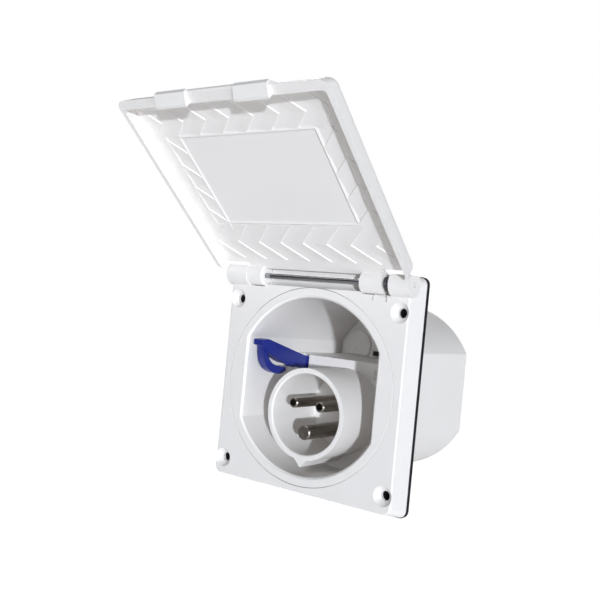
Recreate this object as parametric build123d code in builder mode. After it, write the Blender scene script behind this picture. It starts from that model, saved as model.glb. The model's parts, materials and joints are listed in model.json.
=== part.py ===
from build123d import *
import math
import os

# Frame: X right, Z up, +Y into the wall. The wall plane is y = 0 and the origin
# is the middle of the four wall screws.

# Front frame
FACE_Y = -13.4
FRAME_BACK_Y = -2.0
FRAME_HALF_WIDTH = 50.3
FRAME_BACK_HALF_WIDTH = 52.2
FRAME_BOTTOM_Z = -47.8
FRAME_BACK_BOTTOM_Z = -50.2
FRAME_TOP_Z = 56.6
FRAME_CORNER_R = 3.5
FRAME_EDGE_R = 0.8

# Wall screws
SCREW_X = 46.0
SCREW_Z = 40.0
SCREW_HOLE_R = 2.2
SCREW_SINK_R = 4.6
SCREW_POCKET_R = 3.8
SCREW_SKIN = 4.5
SCREW_COLLAR_R = 3.6

# Small fastenings
SMALL_HOLE_R = 1.7
SMALL_BITE_R = 1.25
SMALL_SHANK_R = 1.2
RING_SCREW_X = 42.6
RING_SCREW_HALF_Z = 9.0
COVER_SCREW_X = 33.8
COVER_SCREW_UP = 6.4
DRAIN_X = 31.3
STOP_X = 35.1
STOP_WIDTH = 6.2
STOP_Z = 45.4
STOP_HEIGHT = 2.0
STOP_DEPTH = 2.6
STOP_GROOVE = 0.7

# Recess and rear box
RECESS_Z = 1.6
RECESS_R = 42.0
RECESS_HALF_WIDTH = 37.0
BOX_R = 44.0
BOX_HALF_WIDTH = 39.0
BOX_CLEARANCE = 0.15
BOX_BACK_Y = 75.6
COVER_THICKNESS = 3.0
COVER_EDGE_R = 1.4
RING_R = 46.5
RING_THICKNESS = 4.0
RING_SEAM = 0.2

# Cable entry
CABLE_Z = -18.0
CABLE_HOLE_R = 7.0
GROMMET_FLANGE_R = 8.6
GROMMET_BORE_R = 4.6
CLAMP_SCREW_X = 13.0
CLAMP_GAP = 7.1

# Connector
SOCKET_Z = -11.4
SHROUD_OUTER_R = 21.6
SHROUD_INNER_R = 19.05
SHROUD_RIM_Y = -12.1
INSERT_FACE_Y = 21.6
INSERT_PLATE = 3.0
SHELF_Z = 14.3
SHELF_THICKNESS = 2.0
INNER_WALL_Y = 73.4
INNER_WALL_THICKNESS = 2.0
INSERT_FIT = 0.1
KEY_DEPTH = 3.4
KEY_HALF_WIDTH = 4.2
CARRIER_FLOOR_Y = 23.4
CARRIER_BACK_Y = 30.6
CARRIER_FLANGE_R = 22.0
CARRIER_EAR_X = 27.0
CARRIER_EAR_R = 4.5
PIN_PITCH_R = 8.75
PIN_TIP_Y = -11.4
PIN_R = 2.5
EARTH_PIN_R = 3.5
PIN_TIP_BORE_R = 1.55
PIN_TIP_BORE_DEPTH = 7.0
TERMINAL_R = 4.0
TERMINAL_BACK_Y = 45.0
TERMINAL_SCREW_Y = 40.0
TERMINAL_SCREW_R = 1.4
PLUG_X = -26.6
PLUG_Z = 19.8
PLUG_R = 9.1
PLUG_HOLE_R = 4.6
PLUG_FLOOR_GAP = 0.3
FLAP_X = -10.6
FLAP_Z = 16.5
FLAP_SLOT = (7.0, 1.6)

# Hinge
HINGE_Y = -12.7
HINGE_Z = 52.4
ROD_R = 1.25
ROD_HOLE_R = 1.3
ROD_HALF_LENGTH = 46.8
FRAME_KNUCKLE_R = 5.6
LID_KNUCKLE_R = 5.0
TROUGH_R = 5.4
MIDDLE_TROUGH_R = 4.35
HINGE_GAP = 0.3
LEFT_KNUCKLE_X = -38.6
RIGHT_KNUCKLE_X = 41.4
LEFT_END_X = -51.2
RIGHT_END_X = 51.6
LID_LEFT_KNUCKLE = (-38.3, -30.2)
LID_RIGHT_KNUCKLE = (26.3, 36.9)
SPRING_COIL_R = 2.7
SPRING_WIRE_R = 0.4
SPRING_X = 37.6
SPRING_PITCH = 0.95
SPRING_LENGTH = 2.85

# Lid, in its own plane: x across, y away from the hinge, z towards the frame
LID_OPEN_ANGLE = 130.0
LID_NEAR = 7.2
LID_LIP_NEAR = 3.4
LID_FAR = 102.2
LID_FAR_RIM = 106.3
LID_FAR_INNER = 100.9
LID_FAR_RIM_INNER = 101.8
LID_OUTER_N = -3.9
LID_PLATE_N = -1.65
LID_RIM_N = 4.2
LID_HALF_WIDTH = 53.3
LID_RIM_HALF_WIDTH = 53.9
LID_WALL = 2.0
LID_EDGE_R = 3.0
TAB_CENTRE_X = 20.75
TAB_WIDTH = 16.5
TAB_INNER = 102.3
TAB_TIP_N = 7.2
TAB_TIP_WIDTH = 1.2
TAB_PROUD = 0.6
TAB_BASE_N = 2.8
BAR_OUTER = 107.2
BAR_TOP_N = 3.6
BAR_LOW_N = 2.4
BAR_ROOT_N = -1.0
BAR_ROOT = 103.7
RIDGE_HEIGHT = 0.45
RIDGE_ROOT = 0.4
RIDGE_SIDE = 1.1
STEP_RAMP = 7.0
STEP_SIDE = 0.3
CHEVRON_PITCH = 12.8
CHEVRON_COUNT = 8
FAR_CHEVRON_X = -41.8
FAR_ROWS = (82.9, 90.2, 99.0)
NEAR_CHEVRON_X = -49.8
NEAR_ROWS = (10.3, 21.4, 32.4)
PANEL_NEAR = 33.4
PANEL_FAR = 82.6
PANEL_HALF_WIDTH = 36.0
COLUMN_X = 44.2
COLUMN_OUTER_X = 52.3
RELIEF_NEAR = 9.9
RELIEF_FAR = 101.2
SIDE_CHEVRON_D = 42.2
SIDE_PITCH = 13.1
SIDE_COUNT = 4

# Locking lever: its side profile lies in an upright plane turned from the Y axis
LEVER_PIVOT_Y = 28.6
LEVER_PIVOT_Z = 8.6
LEVER_TURN = math.degrees(math.atan(0.13))
LEVER_PIVOT_X = -26.8
LEVER_THICKNESS = 6.0
LEVER_PIN_R = 1.5
LEVER_HOLE_R = 1.55
LEVER_ROOT_R = 3.2
CHEEK_INNER = (-31.4, -22.2)
CHEEK_THICKNESS = 2.4
CHEEK_BOTTOM_Z = 4.5


def at_depth(y):
    return Plane.XZ.offset(-y)


def ring_screw_places():
    return [(x, RECESS_Z + z) for x in (-RING_SCREW_X, RING_SCREW_X)
            for z in (-RING_SCREW_HALF_Z, RING_SCREW_HALF_Z)]


def cover_screw_places():
    return [(x, RECESS_Z + COVER_SCREW_UP) for x in (-COVER_SCREW_X, COVER_SCREW_X)]


def clamp_screw_places():
    return [(x, CABLE_Z) for x in (-CLAMP_SCREW_X, CLAMP_SCREW_X)]


def screw_places():
    return [(x, z) for x in (-SCREW_X, SCREW_X) for z in (-SCREW_Z, SCREW_Z)]


def clipped_circle(radius, half_width, centre_z=RECESS_Z):
    with Locations((0, centre_z)):
        Circle(radius)
        Rectangle(2 * half_width, 2 * radius + 2, mode=Mode.INTERSECT)


def screw_solid(x, z, head_y, tip_y, radius, head_r, head_height):
    with BuildSketch(at_depth(head_y)) as head:
        with Locations((x, z)):
            Circle(head_r)
    extrude(head.sketch, amount=math.copysign(head_height, tip_y - head_y))
    with BuildSketch(at_depth(head_y)) as shank:
        with Locations((x, z)):
            Circle(radius)
    extrude(shank.sketch, amount=-(tip_y - head_y))


def make_front_frame():
    height = FRAME_TOP_Z - FRAME_BOTTOM_Z
    back_height = FRAME_TOP_Z - FRAME_BACK_BOTTOM_Z
    with BuildPart() as frame:
        with BuildSketch(at_depth(FACE_Y)):
            with Locations((0, FRAME_TOP_Z - height / 2)):
                RectangleRounded(2 * FRAME_HALF_WIDTH, height, FRAME_CORNER_R)
        with BuildSketch(at_depth(FRAME_BACK_Y)):
            with Locations((0, FRAME_TOP_Z - back_height / 2)):
                RectangleRounded(2 * FRAME_BACK_HALF_WIDTH, back_height, FRAME_CORNER_R)
        loft()
        fillet(frame.faces().sort_by(Axis.Y)[0].outer_wire().edges(), FRAME_EDGE_R)
        for inner, outer in ((LEFT_KNUCKLE_X, LEFT_END_X), (RIGHT_KNUCKLE_X, RIGHT_END_X)):
            with BuildSketch(Plane.YZ.offset(min(inner, outer))):
                with Locations((HINGE_Y, HINGE_Z)):
                    Circle(FRAME_KNUCKLE_R)
                with Locations((HINGE_Y, FRAME_TOP_Z - FRAME_KNUCKLE_R)):
                    Rectangle(2 * FRAME_KNUCKLE_R, 2 * FRAME_KNUCKLE_R, mode=Mode.INTERSECT)
            extrude(amount=abs(outer - inner))
        left_step = LID_LEFT_KNUCKLE[1] + HINGE_GAP
        right_step = LID_RIGHT_KNUCKLE[0] - HINGE_GAP
        for start, end, radius in ((LEFT_KNUCKLE_X, left_step, TROUGH_R),
                                   (left_step, right_step, MIDDLE_TROUGH_R),
                                   (right_step, RIGHT_KNUCKLE_X, TROUGH_R)):
            with BuildSketch(Plane.YZ.offset(start)):
                with Locations((HINGE_Y, HINGE_Z)):
                    Circle(radius)
                with Locations((HINGE_Y, HINGE_Z + radius)):
                    Rectangle(2 * radius, 2 * radius)
                with Locations((HINGE_Y - radius, HINGE_Z)):
                    Rectangle(2 * radius, 2 * radius)
            extrude(amount=end - start, mode=Mode.SUBTRACT)
        with BuildSketch(Plane.YZ.offset(-FRAME_BACK_HALF_WIDTH - 1)):
            with Locations((HINGE_Y, HINGE_Z)):
                Circle(ROD_HOLE_R)
        extrude(amount=2 * FRAME_BACK_HALF_WIDTH + 2, mode=Mode.SUBTRACT)
        with BuildSketch(at_depth(FACE_Y)):
            with Locations((0, RECESS_Z)):
                Circle(RING_R + RING_SEAM)
        extrude(amount=-(RING_THICKNESS + RING_SEAM), mode=Mode.SUBTRACT)
        with BuildSketch(at_depth(FACE_Y)):
            clipped_circle(BOX_R + BOX_CLEARANCE, BOX_HALF_WIDTH + BOX_CLEARANCE)
        extrude(amount=FACE_Y, mode=Mode.SUBTRACT)
        with Locations(at_depth(FACE_Y)):
            with Locations(*screw_places()):
                CounterSinkHole(SCREW_HOLE_R, SCREW_SINK_R)
        with BuildSketch(at_depth(FRAME_BACK_Y)):
            with Locations(*screw_places()):
                Circle(SCREW_POCKET_R)
        extrude(amount=FRAME_BACK_Y - FACE_Y - SCREW_SKIN, mode=Mode.SUBTRACT)
        with BuildSketch(at_depth(FRAME_BACK_Y)):
            with Locations(*ring_screw_places()):
                Circle(SMALL_HOLE_R)
        extrude(amount=12, mode=Mode.SUBTRACT)
        for side in (-1, 1):
            with Locations((side * DRAIN_X, FACE_Y + 3.4, FRAME_BOTTOM_Z)):
                Box(1.2, 4.0, 1.6, mode=Mode.SUBTRACT)
        with BuildSketch(at_depth(FACE_Y)):
            with Locations((STOP_X, STOP_Z + STOP_GROOVE)):
                Rectangle(STOP_WIDTH + 2 * STOP_GROOVE, STOP_HEIGHT + 2 * STOP_GROOVE)
            with Locations((STOP_X, STOP_Z - STOP_GROOVE / 2)):
                Rectangle(STOP_WIDTH, STOP_HEIGHT + STOP_GROOVE, mode=Mode.SUBTRACT)
        extrude(amount=-STOP_DEPTH, mode=Mode.SUBTRACT)
    frame.part.label = "front_frame"
    return frame


def make_frame_gasket():
    height = FRAME_TOP_Z - FRAME_BACK_BOTTOM_Z + 0.6
    with BuildPart() as gasket:
        with BuildSketch(at_depth(FRAME_BACK_Y)):
            with Locations((0, (FRAME_TOP_Z + FRAME_BACK_BOTTOM_Z) / 2)):
                RectangleRounded(2 * FRAME_BACK_HALF_WIDTH + 0.6, height, FRAME_CORNER_R)
            with Locations((0, RECESS_Z)):
                Circle(BOX_R + 0.3, mode=Mode.SUBTRACT)
        extrude(amount=FRAME_BACK_Y)
        with BuildSketch(at_depth(FRAME_BACK_Y)):
            with Locations(*screw_places()):
                Circle(SCREW_COLLAR_R)
        extrude(amount=FRAME_BACK_Y - FACE_Y - SCREW_SKIN - HINGE_GAP)
        with BuildSketch(at_depth(0)):
            with Locations(*screw_places()):
                Circle(SCREW_HOLE_R)
        extrude(amount=-FACE_Y, mode=Mode.SUBTRACT)
    gasket.part.label = "frame_gasket"
    return gasket


def make_rear_box():
    ring_y = FACE_Y + RING_THICKNESS
    with BuildPart() as box:
        with BuildSketch(at_depth(FACE_Y + 0.1)):
            with Locations((0, RECESS_Z)):
                Circle(RING_R)
        extrude(amount=-(RING_THICKNESS - 0.1))
        with BuildSketch(at_depth(ring_y)):
            clipped_circle(BOX_R, BOX_HALF_WIDTH)
        extrude(amount=-(BOX_BACK_Y - ring_y))
        with BuildSketch(at_depth(FACE_Y)):
            clipped_circle(RECESS_R, RECESS_HALF_WIDTH)
        extrude(amount=-(BOX_BACK_Y - FACE_Y + 1), mode=Mode.SUBTRACT)
        fillet(box.faces().sort_by(Axis.Y)[0].outer_wire().edges(), 0.4)
        chamfer(box.faces().sort_by(Axis.Y)[0].inner_wires()[0].edges(), 0.9)
        with BuildSketch(at_depth(ring_y)):
            with Locations(*ring_screw_places()):
                Circle(SMALL_BITE_R)
        extrude(amount=3.0, mode=Mode.SUBTRACT)
        for side in (-1, 1):
            with Locations((side * (RECESS_HALF_WIDTH - 3.0), 66.8, RECESS_Z + COVER_SCREW_UP)):
                Box(7.0, 17.6, 8.0)
        with BuildSketch(at_depth(BOX_BACK_Y)):
            with Locations(*cover_screw_places()):
                Circle(SMALL_BITE_R)
        extrude(amount=12, mode=Mode.SUBTRACT)
    box.part.label = "rear_box"
    return box


def make_rear_cover():
    with BuildPart() as cover:
        with BuildSketch(at_depth(BOX_BACK_Y)):
            clipped_circle(BOX_R, BOX_HALF_WIDTH)
        extrude(amount=-COVER_THICKNESS)
        fillet(cover.faces().sort_by(Axis.Y)[-1].outer_wire().edges(), COVER_EDGE_R)
        with BuildSketch(at_depth(BOX_BACK_Y)):
            clipped_circle(RECESS_R - 0.15, RECESS_HALF_WIDTH - 0.15)
            with Locations((0, RECESS_Z)):
                Rectangle(2 * RECESS_HALF_WIDTH - 4, 2 * RECESS_R - 24, mode=Mode.SUBTRACT)
                Circle(RECESS_R - 8, mode=Mode.SUBTRACT)
            with Locations(*cover_screw_places()):
                Rectangle(8.4, 8.8, mode=Mode.SUBTRACT)
            with Locations((0, SHELF_Z - SHELF_THICKNESS - HINGE_GAP + RECESS_R)):
                Rectangle(4 * RECESS_R, 2 * RECESS_R, mode=Mode.SUBTRACT)
        extrude(amount=4.0)
        with BuildSketch(at_depth(BOX_BACK_Y + COVER_THICKNESS)):
            with Locations(*cover_screw_places()):
                Circle(SMALL_HOLE_R)
            with Locations((0, CABLE_Z)):
                Circle(CABLE_HOLE_R)
        extrude(amount=12, mode=Mode.SUBTRACT)
        with Locations(*[(x, BOX_BACK_Y - 3.5, z) for x, z in clamp_screw_places()]):
            Box(7, 7.2, 8)
        with BuildSketch(at_depth(BOX_BACK_Y - CLAMP_GAP)):
            with Locations(*clamp_screw_places()):
                Circle(SMALL_BITE_R)
        extrude(amount=-6, mode=Mode.SUBTRACT)
    cover.part.label = "rear_cover"
    return cover


def make_inlet_body():
    plate_back = INSERT_FACE_Y + INSERT_PLATE
    wall_back = INNER_WALL_Y + INNER_WALL_THICKNESS
    radius = RECESS_R - INSERT_FIT
    half_width = RECESS_HALF_WIDTH - INSERT_FIT
    with BuildPart() as body:
        with BuildSketch(at_depth(INSERT_FACE_Y)):
            clipped_circle(radius, half_width)
            with Locations((0, SHELF_Z + radius)):
                Rectangle(4 * radius, 2 * radius, mode=Mode.SUBTRACT)
        extrude(amount=-INSERT_PLATE)
        with BuildSketch(at_depth(INSERT_FACE_Y)):
            clipped_circle(radius, half_width)
            with Locations((0, SHELF_Z - SHELF_THICKNESS / 2)):
                Rectangle(4 * radius, SHELF_THICKNESS, mode=Mode.INTERSECT)
        extrude(amount=-(wall_back - INSERT_FACE_Y))
        with BuildSketch(at_depth(INNER_WALL_Y)):
            clipped_circle(radius, half_width)
            with Locations((0, SHELF_Z - SHELF_THICKNESS - radius)):
                Rectangle(4 * radius, 2 * radius, mode=Mode.SUBTRACT)
        extrude(amount=-INNER_WALL_THICKNESS)
        with BuildSketch(at_depth(SHROUD_RIM_Y)):
            with Locations((0, SOCKET_Z)):
                Circle(SHROUD_OUTER_R)
            with BuildLine():
                Polyline((-KEY_HALF_WIDTH, SOCKET_Z - 20.6),
                         (0, SOCKET_Z - SHROUD_OUTER_R - KEY_DEPTH),
                         (KEY_HALF_WIDTH, SOCKET_Z - 20.6),
                         (-KEY_HALF_WIDTH, SOCKET_Z - 20.6))
            make_face()
        extrude(amount=-(plate_back - SHROUD_RIM_Y))
        with BuildSketch(at_depth(SHROUD_RIM_Y)):
            with Locations((0, SOCKET_Z)):
                Circle(SHROUD_INNER_R)
        extrude(amount=-(plate_back - SHROUD_RIM_Y), mode=Mode.SUBTRACT)
        rim = body.faces().sort_by(Axis.Y)[0]
        fillet(rim.inner_wires()[0].edges(), 0.8)
        for x in (CHEEK_INNER[0] - CHEEK_THICKNESS / 2, CHEEK_INNER[1] + CHEEK_THICKNESS / 2):
            with Locations((x, (plate_back + 33.0) / 2, (SHELF_Z - 1 + CHEEK_BOTTOM_Z) / 2)):
                Box(CHEEK_THICKNESS, 33.0 - plate_back, SHELF_Z - 1 - CHEEK_BOTTOM_Z)
        with Locations((-27.6, INSERT_FACE_Y + 2.0, 11.4)):
            Box(7.9, 8.6, 9.4, mode=Mode.SUBTRACT)
        with BuildSketch(Plane.YZ.offset(CHEEK_INNER[0] - CHEEK_THICKNESS)):
            with Locations((LEVER_PIVOT_Y, LEVER_PIVOT_Z)):
                Circle(LEVER_PIN_R + 0.02)
        extrude(amount=14.0, mode=Mode.SUBTRACT)
        with Locations((19.0, INSERT_FACE_Y + 0.5, 8.6)):
            Box(6.0, 2.0, 4.6, mode=Mode.SUBTRACT)
        with BuildSketch(at_depth(INNER_WALL_Y)):
            with Locations((PLUG_X, PLUG_Z)):
                Circle(PLUG_HOLE_R)
            with Locations((FLAP_X, FLAP_Z)):
                Rectangle(*FLAP_SLOT)
        extrude(amount=-INNER_WALL_THICKNESS, mode=Mode.SUBTRACT)
        with BuildSketch(at_depth(plate_back)):
            with Locations((-CARRIER_EAR_X, SOCKET_Z), (CARRIER_EAR_X, SOCKET_Z)):
                Circle(SMALL_BITE_R)
        extrude(amount=2.2, mode=Mode.SUBTRACT)
    body.part.label = "inlet_body"
    return body


def make_contact_carrier():
    plate_back = INSERT_FACE_Y + INSERT_PLATE
    with BuildPart() as carrier:
        with BuildSketch(at_depth(CARRIER_FLOOR_Y)):
            with Locations((0, SOCKET_Z)):
                Circle(SHROUD_INNER_R - 0.05)
        extrude(amount=-(plate_back - CARRIER_FLOOR_Y))
        with BuildSketch(at_depth(plate_back)):
            with Locations((0, SOCKET_Z)):
                Circle(CARRIER_FLANGE_R)
                SlotCenterToCenter(2 * CARRIER_EAR_X, 2 * CARRIER_EAR_R)
        extrude(amount=-(CARRIER_BACK_Y - plate_back))
        with BuildSketch(at_depth(CARRIER_FLOOR_Y)):
            with Locations(*[(x, z) for x, z, r in pin_places() if r == PIN_R]):
                Circle(PIN_R + 0.02)
            with Locations(*[(x, z) for x, z, r in pin_places() if r == EARTH_PIN_R]):
                Circle(EARTH_PIN_R + 0.02)
            with Locations((-CARRIER_EAR_X, SOCKET_Z), (CARRIER_EAR_X, SOCKET_Z)):
                Circle(SMALL_HOLE_R)
        extrude(amount=-12, mode=Mode.SUBTRACT)
    carrier.part.label = "contact_carrier"
    return carrier


def pin_places():
    places = []
    for angle, radius in ((150, PIN_R), (30, PIN_R), (270, EARTH_PIN_R)):
        x = PIN_PITCH_R * math.cos(math.radians(angle))
        z = SOCKET_Z + PIN_PITCH_R * math.sin(math.radians(angle))
        places.append((x, z, radius))
    return places


def make_pin(place, label, screw_side):
    x, z, radius = place
    with BuildPart() as pin:
        with BuildSketch(at_depth(PIN_TIP_Y)):
            with Locations((x, z)):
                Circle(radius)
        extrude(amount=-(CARRIER_BACK_Y - PIN_TIP_Y))
        chamfer(pin.faces().sort_by(Axis.Y)[0].edges(), 0.5)
        with BuildSketch(at_depth(CARRIER_BACK_Y)):
            with Locations((x, z)):
                Circle(TERMINAL_R)
        extrude(amount=-(TERMINAL_BACK_Y - CARRIER_BACK_Y))
        with BuildSketch(at_depth(TERMINAL_BACK_Y)):
            with Locations((x, z)):
                Circle(1.9)
        extrude(amount=9.0, mode=Mode.SUBTRACT)
        with BuildSketch(Plane.XY.offset(z)):
            with Locations((x, TERMINAL_SCREW_Y)):
                Circle(TERMINAL_SCREW_R + 0.02)
        extrude(amount=screw_side * 6, mode=Mode.SUBTRACT)
        if radius == PIN_R:
            with BuildSketch(at_depth(PIN_TIP_Y)):
                with Locations((x, z)):
                    Circle(PIN_TIP_BORE_R)
            extrude(amount=-PIN_TIP_BORE_DEPTH, mode=Mode.SUBTRACT)
    pin.part.label = label
    return pin


def make_terminal_screws():
    with BuildPart() as screws:
        for (x, z, radius), side in zip(pin_places(), (1, 1, -1)):
            with BuildSketch(Plane.XY.offset(z + side * 1.0)):
                with Locations((x, TERMINAL_SCREW_Y)):
                    Circle(TERMINAL_SCREW_R)
            extrude(amount=side * 3.6)
            with BuildSketch(Plane.XY.offset(z + side * 4.4)):
                with Locations((x, TERMINAL_SCREW_Y)):
                    Circle(2.3)
            extrude(amount=side * 1.8)
            with Locations((x, TERMINAL_SCREW_Y, z + side * 6.2)):
                Box(5.0, 0.7, 1.2, mode=Mode.SUBTRACT)
    screws.part.label = "terminal_screws"
    return screws


def make_carrier_screws():
    with BuildPart() as screws:
        for x in (-CARRIER_EAR_X, CARRIER_EAR_X):
            screw_solid(x, SOCKET_Z, CARRIER_BACK_Y, INSERT_FACE_Y + 1.0, SMALL_SHANK_R, 2.6, 1.8)
    screws.part.label = "carrier_screws"
    return screws


def make_ring_screws():
    with BuildPart() as screws:
        for x, z in ring_screw_places():
            screw_solid(x, z, FRAME_BACK_Y - 2.0, FACE_Y + 1.8, SMALL_SHANK_R, 1.6, 1.8)
    screws.part.label = "ring_screws"
    return screws


def make_cover_screws():
    head_y = BOX_BACK_Y + COVER_THICKNESS
    with BuildPart() as screws:
        for x, z in cover_screw_places():
            screw_solid(x, z, head_y, BOX_BACK_Y - 9, SMALL_SHANK_R, 3.0, 1.6)
    screws.part.label = "cover_screws"
    return screws


def make_blanking_plug():
    with BuildPart() as plug:
        with BuildSketch(at_depth(INNER_WALL_Y - 0.9)):
            with Locations((PLUG_X, PLUG_Z)):
                Circle(PLUG_R)
            with Locations((PLUG_X, SHELF_Z + PLUG_FLOOR_GAP - PLUG_R)):
                Rectangle(4 * PLUG_R, 2 * PLUG_R, mode=Mode.SUBTRACT)
        extrude(amount=-0.9)
        fillet(plug.faces().sort_by(Axis.Y)[0].edges(), 0.5)
        with BuildSketch(at_depth(INNER_WALL_Y)):
            with Locations((PLUG_X, PLUG_Z)):
                Circle(PLUG_HOLE_R - 0.05)
        extrude(amount=-INNER_WALL_THICKNESS)
        with BuildSketch(at_depth(INNER_WALL_Y - 0.9)):
            with Locations((PLUG_X + 0.2, PLUG_Z - 1.3)):
                Circle(0.55)
        extrude(amount=-0.7, mode=Mode.SUBTRACT)
    plug.part.label = "blanking_plug"
    return plug


def make_drain_flap():
    with BuildPart() as flap:
        with Locations((FLAP_X, INNER_WALL_Y - 0.7, FLAP_Z)):
            Box(9.0, 1.4, 2.6)
        with Locations((FLAP_X, INNER_WALL_Y + 0.9, FLAP_Z)):
            Box(6.9, 1.8, 1.5)
    flap.part.label = "drain_flap"
    return flap


def make_cable_grommet():
    with BuildPart() as grommet:
        with BuildSketch(at_depth(BOX_BACK_Y - 1.6)):
            with Locations((0, CABLE_Z)):
                Circle(GROMMET_FLANGE_R)
        extrude(amount=-1.6)
        with BuildSketch(at_depth(BOX_BACK_Y)):
            with Locations((0, CABLE_Z)):
                Circle(CABLE_HOLE_R - 0.05)
        extrude(amount=-COVER_THICKNESS)
        with BuildSketch(at_depth(BOX_BACK_Y + COVER_THICKNESS)):
            with Locations((0, CABLE_Z)):
                Circle(GROMMET_FLANGE_R)
        extrude(amount=-1.4)
        with BuildSketch(at_depth(BOX_BACK_Y + COVER_THICKNESS + 1.4)):
            with Locations((0, CABLE_Z)):
                Circle(GROMMET_BORE_R)
        extrude(amount=10, mode=Mode.SUBTRACT)
    grommet.part.label = "cable_grommet"
    return grommet


def make_cord_clamp():
    saddle_y = BOX_BACK_Y - CLAMP_GAP
    with BuildPart() as clamp:
        with Locations((0, saddle_y - 1.5, CABLE_Z)):
            Box(33, 2.9, 8)
        with BuildSketch(at_depth(saddle_y)):
            with Locations(*clamp_screw_places()):
                Circle(SMALL_HOLE_R)
            with Locations((0, CABLE_Z)):
                Rectangle(2 * GROMMET_BORE_R, 12)
        extrude(amount=6, mode=Mode.SUBTRACT)
        with Locations((0, saddle_y - 1.5, CABLE_Z - 6.4)):
            Box(13.0, 2.9, 4.8)
        with Locations(*[(x, saddle_y - 1.5, CABLE_Z - 4.4) for x in (-5.5, 5.5)]):
            Box(2.0, 2.9, 3.0)
    clamp.part.label = "cord_clamp"
    return clamp


def make_clamp_screws():
    with BuildPart() as screws:
        for x, z in clamp_screw_places():
            screw_solid(x, z, BOX_BACK_Y - 10.05, BOX_BACK_Y - 2.4, SMALL_SHANK_R, 2.6, 1.6)
    screws.part.label = "clamp_screws"
    return screws


def make_hinge_rod():
    with BuildPart() as rod:
        with BuildSketch(Plane.YZ.offset(-ROD_HALF_LENGTH)):
            with Locations((HINGE_Y, HINGE_Z)):
                Circle(ROD_R)
        extrude(amount=2 * ROD_HALF_LENGTH)
    rod.part.label = "hinge_rod"
    return rod


def make_lid_spring():
    with BuildPart() as spring:
        with BuildLine():
            coil = Helix(SPRING_PITCH, SPRING_LENGTH, SPRING_COIL_R,
                         center=(SPRING_X, HINGE_Y, HINGE_Z), direction=(1, 0, 0))
        with BuildSketch(Plane(origin=coil @ 0, z_dir=coil % 0)):
            Circle(SPRING_WIRE_R)
        sweep()
    spring.part.label = "lid_spring"
    return spring


def lid_plane():
    turn = math.radians(LID_OPEN_ANGLE)
    away_y = -math.sin(turn)
    away_z = -math.cos(turn)
    return Plane(origin=(0, HINGE_Y, HINGE_Z), x_dir=(1, 0, 0), z_dir=(0, -away_z, away_y))


def lid_section(level, half_width, near, far, corner):
    with BuildSketch(lid_plane().offset(level)) as section:
        with Locations((0, (near + far) / 2)):
            RectangleRounded(2 * half_width, far - near, corner)
    return section.sketch


def ridge_row(corner, run, row, count, pitch, length, slant, ramp=STEP_RAMP, side=STEP_SIDE):
    path = row * length + run * slant
    plane = Plane(origin=lid_plane().from_local_coords(corner), x_dir=run, z_dir=row)
    up = 1 if plane.y_dir.dot(lid_plane().z_dir) > 0 else -1
    with BuildSketch(plane) as ridges:
        for index in range(count):
            at = index * pitch
            with BuildLine():
                Polyline((at - ramp, -up * RIDGE_ROOT), (at - ramp, 0), (at, up * RIDGE_HEIGHT),
                         (at + side, 0), (at + side, -up * RIDGE_ROOT), close=True)
            make_face()
    extrude(ridges.sketch, amount=path.length, dir=path.normalized())


def make_lid_relief():
    across = lid_plane().x_dir
    away = lid_plane().y_dir
    outer = COLUMN_OUTER_X - COLUMN_X
    inner = COLUMN_X - PANEL_HALF_WIDTH
    deep = PANEL_FAR - PANEL_NEAR
    with BuildPart() as relief:
        for first_x, rows, sign in ((FAR_CHEVRON_X, FAR_ROWS, -1), (NEAR_CHEVRON_X, NEAR_ROWS, 1)):
            low = rows[1] - rows[0]
            high = rows[2] - rows[1]
            ridge_row((first_x + sign * low, rows[0], LID_PLATE_N), across, away, CHEVRON_COUNT,
                      CHEVRON_PITCH, low, -sign * low)
            ridge_row((first_x, rows[1], LID_PLATE_N), across, away, CHEVRON_COUNT,
                      CHEVRON_PITCH, high, sign * high)
        for x, length, slant in ((-COLUMN_OUTER_X, outer, outer), (-COLUMN_X, inner, -inner),
                                 (PANEL_HALF_WIDTH, inner, inner), (COLUMN_X, outer, -outer)):
            near = SIDE_CHEVRON_D - max(slant, 0)
            ridge_row((x, near, LID_PLATE_N), away, across, SIDE_COUNT, SIDE_PITCH, length, slant)
        for x in (-COLUMN_X, COLUMN_X, -PANEL_HALF_WIDTH, PANEL_HALF_WIDTH):
            ridge_row((x, PANEL_NEAR, LID_PLATE_N), across, away, 1, 1, deep, 0, RIDGE_SIDE, RIDGE_SIDE)
        ridge_row((-PANEL_HALF_WIDTH, PANEL_NEAR, LID_PLATE_N), away, across, 2, deep,
                  2 * PANEL_HALF_WIDTH, 0, RIDGE_SIDE, RIDGE_SIDE)
        with BuildSketch(lid_plane().offset(LID_PLATE_N - RIDGE_ROOT)) as area:
            with Locations((0, (RELIEF_NEAR + RELIEF_FAR) / 2)):
                Rectangle(2 * COLUMN_OUTER_X, RELIEF_FAR - RELIEF_NEAR)
        extrude(area.sketch, amount=RIDGE_ROOT + 2 * RIDGE_HEIGHT, mode=Mode.INTERSECT)
    return relief


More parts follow.
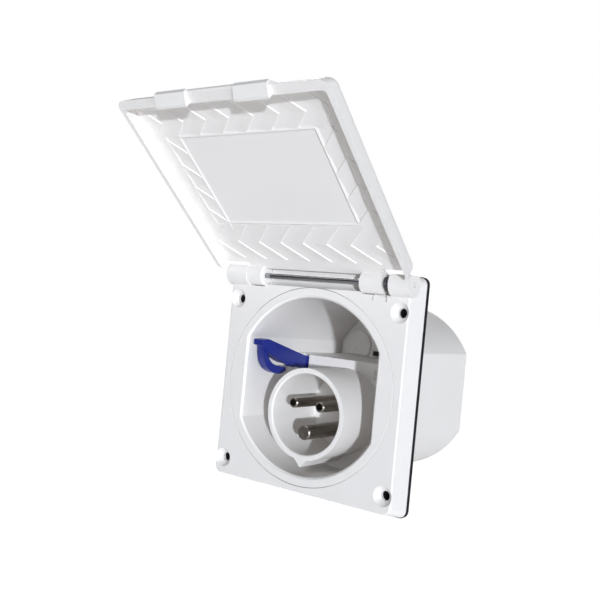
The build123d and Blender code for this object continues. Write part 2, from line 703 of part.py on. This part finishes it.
def make_lid():
    plane = lid_plane()
    outer_wall = LID_RIM_HALF_WIDTH - LID_WALL
    relief = make_lid_relief()
    lip_centre = (LID_LEFT_KNUCKLE[0] + LID_RIGHT_KNUCKLE[1]) / 2
    lip_width = LID_RIGHT_KNUCKLE[1] - LID_LEFT_KNUCKLE[0]
    with BuildPart() as lid:
        loft([lid_section(LID_OUTER_N, LID_HALF_WIDTH, LID_NEAR, LID_FAR, 4.0),
              lid_section(LID_RIM_N, LID_RIM_HALF_WIDTH, LID_NEAR, LID_FAR_RIM, 4.0)])
        outer_face = [f for f in lid.faces() if f.normal_at().dot(plane.z_dir) < -0.99][0]
        far_edges = outer_face.edges().sort_by(lambda e: (e.center() - plane.origin).dot(plane.y_dir))
        fillet(far_edges[1:], LID_EDGE_R)
        loft([lid_section(LID_PLATE_N, LID_HALF_WIDTH - 0.7, LID_NEAR - 8, LID_FAR_INNER, 2.0),
              lid_section(LID_RIM_N, outer_wall, LID_NEAR - 8, LID_FAR_RIM_INNER, 2.0)],
             mode=Mode.SUBTRACT)
        profile = Plane(origin=plane.origin, x_dir=plane.y_dir, z_dir=(1, 0, 0))
        up = 1 if profile.y_dir.dot(plane.z_dir) > 0 else -1
        bar_half = TAB_CENTRE_X + TAB_WIDTH / 2
        with BuildSketch(profile.offset(-bar_half)) as bar:
            with BuildLine():
                Polyline((LID_FAR_RIM - 2, up * LID_RIM_N), (BAR_OUTER, up * BAR_TOP_N),
                         (BAR_OUTER, up * BAR_LOW_N), (BAR_ROOT, up * BAR_ROOT_N), close=True)
            make_face()
        extrude(bar.sketch, amount=2 * bar_half)
        for side in (-1, 1):
            with BuildSketch(profile.offset(side * TAB_CENTRE_X - TAB_WIDTH / 2)) as tab:
                with BuildLine():
                    Polyline((TAB_INNER, up * (LID_RIM_N - 0.4)), (TAB_INNER, up * TAB_TIP_N),
                             (TAB_INNER + TAB_TIP_WIDTH, up * TAB_TIP_N),
                             (BAR_OUTER + TAB_PROUD, up * (BAR_TOP_N + TAB_TIP_WIDTH)),
                             (BAR_OUTER + TAB_PROUD, up * TAB_BASE_N), (BAR_ROOT, 0), close=True)
                make_face()
            extrude(tab.sketch, amount=TAB_WIDTH)
        with BuildSketch(plane.offset(LID_OUTER_N)):
            with Locations((lip_centre, (LID_LIP_NEAR + LID_NEAR + 1) / 2)):
                Rectangle(lip_width, LID_NEAR + 1 - LID_LIP_NEAR)
        extrude(amount=LID_PLATE_N - LID_OUTER_N)
        add(relief.part)
        for start, end in (LID_LEFT_KNUCKLE, LID_RIGHT_KNUCKLE):
            with BuildSketch(Plane.YZ.offset(start)):
                with Locations((HINGE_Y, HINGE_Z)):
                    Circle(LID_KNUCKLE_R)
            extrude(amount=end - start)
            with BuildSketch(plane.offset(LID_OUTER_N)):
                with Locations(((start + end) / 2, (LID_LIP_NEAR + 1.0) / 2)):
                    Rectangle(end - start, LID_LIP_NEAR + 1.0)
            extrude(amount=LID_PLATE_N - LID_OUTER_N)
        with BuildSketch(Plane.YZ.offset(-FRAME_HALF_WIDTH)):
            with Locations((HINGE_Y, HINGE_Z)):
                Circle(ROD_R + 0.05)
        extrude(amount=2 * FRAME_HALF_WIDTH, mode=Mode.SUBTRACT)
    lid.part.label = "lid"
    return lid


def make_locking_lever():
    turn = math.radians(LEVER_TURN)
    plane = Plane(origin=(LEVER_PIVOT_X, LEVER_PIVOT_Y, LEVER_PIVOT_Z),
                  x_dir=(math.sin(turn), math.cos(turn), 0),
                  z_dir=(math.cos(turn), -math.sin(turn), 0))
    half = LEVER_THICKNESS / 2
    with BuildPart() as lever:
        with BuildSketch(plane):
            with BuildLine():
                Polyline((-40.6, 9.5), (-40.6, 12.1), (-36.0, 12.6), (-9.4, 5.3), (-6.6, 5.0), (-2.4, 3.0),
                         (-2.4, -1.8), (-12.5, -1.1), (-15.6, -0.4), (-16.4, -1.1), (-17.6, 0.2),
                         (-23.0, 0.7), (-36.4, 6.0), (-38.4, 8.9), (-40.6, 9.5))
            make_face()
            Circle(LEVER_ROOT_R)
            with Locations((2.6, 0)):
                Rectangle(5.2, 4.2)
        extrude(amount=half, both=True)
        with BuildSketch(plane):
            with BuildLine():
                outer = Spline((-38.2, 9.3), (-37.8, 3.9), (-35.6, -0.8), (-31.3, -3.7), (-23.7, -4.2))
                Line(outer @ 1, (-21.4, -2.9))
                Line((-21.4, -2.9), (-21.7, -1.1))
                inner = Spline((-21.7, -1.1), (-27.0, -0.8), (-31.6, 0.7), (-34.6, 3.9), (-35.4, 7.7))
                Line(inner @ 1, outer @ 0)
            make_face()
        extrude(amount=half - 0.7, both=True)
        with BuildSketch(Plane.YZ.offset(LEVER_PIVOT_X - 8)):
            with Locations((LEVER_PIVOT_Y, LEVER_PIVOT_Z)):
                Circle(LEVER_HOLE_R)
        extrude(amount=16, mode=Mode.SUBTRACT)
    lever.part.label = "locking_lever"
    return lever


def make_lever_pin():
    with BuildPart() as pin:
        with BuildSketch(Plane.YZ.offset(CHEEK_INNER[0] - CHEEK_THICKNESS + 0.2)):
            with Locations((LEVER_PIVOT_Y, LEVER_PIVOT_Z)):
                Circle(LEVER_PIN_R)
        extrude(amount=CHEEK_INNER[1] - CHEEK_INNER[0] + 2 * CHEEK_THICKNESS - 0.4)
    pin.part.label = "lever_pin"
    return pin


def make_lever_spring():
    with BuildPart() as spring:
        with BuildSketch(Plane.YZ.offset(LEVER_PIVOT_X - 1.8)):
            with BuildLine():
                path = Polyline((24.85, 2.0), (30.5, 2.0), (33.4, 5.0))
                offset(path, amount=0.2)
            make_face()
        extrude(amount=3.6)
    spring.part.label = "lever_spring"
    return spring


os.makedirs("parts", exist_ok=True)

pins = pin_places()
pieces = [
    make_front_frame(),
    make_frame_gasket(),
    make_rear_box(),
    make_rear_cover(),
    make_inlet_body(),
    make_contact_carrier(),
    make_pin(pins[0], "pin_line", 1),
    make_pin(pins[1], "pin_neutral", 1),
    make_pin(pins[2], "pin_earth", -1),
    make_terminal_screws(),
    make_carrier_screws(),
    make_ring_screws(),
    make_cover_screws(),
    make_blanking_plug(),
    make_drain_flap(),
    make_cable_grommet(),
    make_cord_clamp(),
    make_clamp_screws(),
    make_hinge_rod(),
    make_lid_spring(),
    make_lid(),
    make_locking_lever(),
    make_lever_pin(),
    make_lever_spring(),
]
for piece in pieces:
    export_step(piece.part, "parts/" + piece.part.label + ".step")
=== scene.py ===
import bpy, json, math
from mathutils import Matrix, Vector

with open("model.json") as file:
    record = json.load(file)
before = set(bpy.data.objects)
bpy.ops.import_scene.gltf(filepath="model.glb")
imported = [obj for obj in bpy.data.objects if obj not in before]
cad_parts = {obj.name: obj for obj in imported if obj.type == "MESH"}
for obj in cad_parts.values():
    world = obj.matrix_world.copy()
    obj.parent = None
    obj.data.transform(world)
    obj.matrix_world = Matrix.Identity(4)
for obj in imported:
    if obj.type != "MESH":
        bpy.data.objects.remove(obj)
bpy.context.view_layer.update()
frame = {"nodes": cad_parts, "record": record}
nodes = frame["nodes"]

FLOOR_GLOW = 0.12
FLOOR_TINT = (0.98, 0.99, 1.0, 1)
FLOOR_Z = -1.6
FLOOR_SIZE = 60
SKY = 0.075
SKY_TINT = (0.99, 0.99, 1.0, 1)
PLASTIC_IOR = 1.49
LENS = 47.28
SENSOR = 36
CAMERA_AT = (0.21098, -0.31691, 0.03755)
CAMERA_FORWARD = (-0.58492, 0.81101, 0.01144)
CAMERA_UP = (-0.07135, -0.06549, 0.99530)


# ---------------------------------------------------------------- materials
def new_material(name):
    mat = bpy.data.materials.new(name)
    mat.use_nodes = True
    tree = mat.node_tree
    tree.nodes.clear()
    out = tree.nodes.new("ShaderNodeOutputMaterial")
    shader = tree.nodes.new("ShaderNodeBsdfPrincipled")
    tree.links.new(shader.outputs["BSDF"], out.inputs["Surface"])
    return mat, tree, shader


def noise(tree, scale, detail=4.0, rough=0.5, stretch=(1, 1, 1)):
    coords = tree.nodes.new("ShaderNodeTexCoord")
    mapping = tree.nodes.new("ShaderNodeMapping")
    mapping.inputs["Scale"].default_value = stretch
    tex = tree.nodes.new("ShaderNodeTexNoise")
    tex.inputs["Scale"].default_value = scale
    tex.inputs["Detail"].default_value = detail
    tex.inputs["Roughness"].default_value = rough
    tree.links.new(coords.outputs["Object"], mapping.inputs["Vector"])
    tree.links.new(mapping.outputs["Vector"], tex.inputs["Vector"])
    return tex.outputs["Fac"]


def ramp(tree, fac, low, high, low_at=0.3, high_at=0.7):
    node = tree.nodes.new("ShaderNodeValToRGB")
    node.color_ramp.elements[0].position = low_at
    node.color_ramp.elements[1].position = high_at
    node.color_ramp.elements[0].color = (*low, 1)
    node.color_ramp.elements[1].color = (*high, 1)
    tree.links.new(fac, node.inputs["Fac"])
    return node.outputs["Color"]


def value_range(tree, fac, low, high):
    node = tree.nodes.new("ShaderNodeMapRange")
    node.inputs["To Min"].default_value = low
    node.inputs["To Max"].default_value = high
    tree.links.new(fac, node.inputs["Value"])
    return node.outputs["Result"]


def bump(tree, shader, height, strength, distance):
    node = tree.nodes.new("ShaderNodeBump")
    node.inputs["Strength"].default_value = strength
    node.inputs["Distance"].default_value = distance
    tree.links.new(height, node.inputs["Height"])
    tree.links.new(node.outputs["Normal"], shader.inputs["Normal"])


def plastic(name, low, high, rough_low, rough_high, grain, grain_strength=0.25):
    mat, tree, shader = new_material(name)
    tone = noise(tree, 22, 3)
    tree.links.new(ramp(tree, tone, low, high), shader.inputs["Base Color"])
    tree.links.new(value_range(tree, noise(tree, 60, 5), rough_low, rough_high), shader.inputs["Roughness"])
    bump(tree, shader, noise(tree, grain, 6, 0.6), grain_strength, 0.00005)
    shader.inputs["IOR"].default_value = PLASTIC_IOR
    return mat


def metal(name, low, high, rough_low, rough_high, stretch, scale=400):
    mat, tree, shader = new_material(name)
    streak = noise(tree, scale, 4, 0.6, stretch)
    tree.links.new(ramp(tree, streak, low, high), shader.inputs["Base Color"])
    tree.links.new(value_range(tree, streak, rough_low, rough_high), shader.inputs["Roughness"])
    bump(tree, shader, streak, 0.12, 0.00003)
    shader.inputs["Metallic"].default_value = 1.0
    return mat


white = plastic("white_plastic", (0.855, 0.832, 0.806), (0.880, 0.856, 0.830), 0.42, 0.56, 1500)
carrier = plastic("carrier_plastic", (0.835, 0.812, 0.788), (0.860, 0.838, 0.815), 0.45, 0.58, 1200)
blue = plastic("blue_plastic", (0.010, 0.020, 0.21), (0.018, 0.034, 0.28), 0.24, 0.36, 1100, 0.15)
rubber = plastic("black_rubber", (0.003, 0.003, 0.006), (0.008, 0.007, 0.012), 0.55, 0.75, 1800, 0.4)
nickel = metal("nickel", (0.27, 0.245, 0.22), (0.44, 0.405, 0.37), 0.22, 0.34, (1, 0.04, 1))
zinc = metal("zinc_steel", (0.56, 0.57, 0.58), (0.7, 0.7, 0.71), 0.3, 0.45, (1, 0.3, 1))
bright = metal("bright_steel", (0.26, 0.26, 0.28), (0.46, 0.46, 0.48), 0.12, 0.2, (0.05, 1, 1))
spring = metal("spring_steel", (0.10, 0.095, 0.11), (0.2, 0.19, 0.21), 0.3, 0.42, (1, 1, 1), 900)

slots = {
    "white_plastic": white, "carrier_plastic": carrier, "blue_plastic": blue, "black_rubber": rubber,
    "nickel": nickel, "zinc_steel": zinc, "bright_steel": bright, "spring_steel": spring,
}
for part in frame["record"]["subparts"]:
    piece = nodes[part["node"]]
    piece.data.materials.clear()
    piece.data.materials.append(slots[part["material_slot"]])

# ---------------------------------------------------------------- floor and backdrop
bpy.ops.mesh.primitive_plane_add(size=FLOOR_SIZE, location=(0, 0, FLOOR_Z))
floor = bpy.context.object
floor.name = "floor"
floor_mat, tree, shader = new_material("floor")
floor_tone = ramp(tree, noise(tree, 1.2), (0.90, 0.88, 0.86), (0.93, 0.91, 0.89))
tree.links.new(floor_tone, shader.inputs["Base Color"])
shader.inputs["Roughness"].default_value = 0.9
paths = tree.nodes.new("ShaderNodeLightPath")
glow = tree.nodes.new("ShaderNodeMapRange")
glow.inputs["To Min"].default_value = FLOOR_GLOW
glow.inputs["To Max"].default_value = 1.0
tree.links.new(paths.outputs["Is Camera Ray"], glow.inputs["Value"])
tree.links.new(glow.outputs["Result"], shader.inputs["Emission Strength"])
shader.inputs["Emission Color"].default_value = FLOOR_TINT
floor.data.materials.append(floor_mat)

# ---------------------------------------------------------------- light
world = bpy.data.worlds.new("studio")
bpy.context.scene.world = world
world.use_nodes = True
sky = world.node_tree.nodes["Background"]
sky.inputs["Color"].default_value = SKY_TINT
sky.inputs["Strength"].default_value = SKY
paths = world.node_tree.nodes.new("ShaderNodeLightPath")
seen = world.node_tree.nodes.new("ShaderNodeBackground")
seen.inputs["Color"].default_value = (1, 1, 1, 1)
seen.inputs["Strength"].default_value = 1.0
mix = world.node_tree.nodes.new("ShaderNodeMixShader")
surface = world.node_tree.nodes["World Output"].inputs["Surface"]
world.node_tree.links.new(paths.outputs["Is Camera Ray"], mix.inputs["Fac"])
world.node_tree.links.new(sky.outputs["Background"], mix.inputs[1])
world.node_tree.links.new(seen.outputs["Background"], mix.inputs[2])
world.node_tree.links.new(mix.outputs["Shader"], surface)


def area_light(name, azimuth, elevation, distance, size, power, colour=(1, 1, 1)):
    # azimuth 0 is in front of the frame and 90 is to its right, in degrees
    data = bpy.data.lights.new(name, "AREA")
    data.shape = "DISK"
    data.size = size
    data.energy = power
    data.color = colour
    lamp = bpy.data.objects.new(name, data)
    a, e = math.radians(azimuth), math.radians(elevation)
    away = Vector((math.sin(a) * math.cos(e), -math.cos(a) * math.cos(e), math.sin(e)))
    lamp.location = away * distance
    lamp.rotation_euler = away.to_track_quat("Z", "Y").to_euler()
    bpy.context.scene.collection.objects.link(lamp)


area_light("key", 43.7, 1.5, 7.0, 0.26, 380, colour=(0.93, 0.98, 1.06))
area_light("fill", 12, 4, 2.5, 0.5, 3.2, colour=(0.99, 0.99, 1.0))
area_light("behind", 125, 62, 1.6, 0.8, 3.4)
area_light("rear", 212, 28, 2.2, 0.9, 18)
area_light("under", 84, -26, 2.0, 0.7, 5.6, colour=(0.96, 0.99, 1.04))

# ---------------------------------------------------------------- camera
camera_data = bpy.data.cameras.new("camera")
camera = bpy.data.objects.new("camera", camera_data)
bpy.context.scene.collection.objects.link(camera)
camera_data.sensor_width = SENSOR
camera_data.lens = LENS
camera_data.clip_start = 0.01
forward = Vector(CAMERA_FORWARD).normalized()
up = Vector(CAMERA_UP)
right = forward.cross(up).normalized()
up = right.cross(forward)
turn = Matrix((right, up, -forward)).transposed()
camera.matrix_world = Matrix.Translation(Vector(CAMERA_AT)) @ turn.to_4x4()
bpy.context.scene.camera = camera
bpy.context.scene.view_settings.view_transform = "Standard"
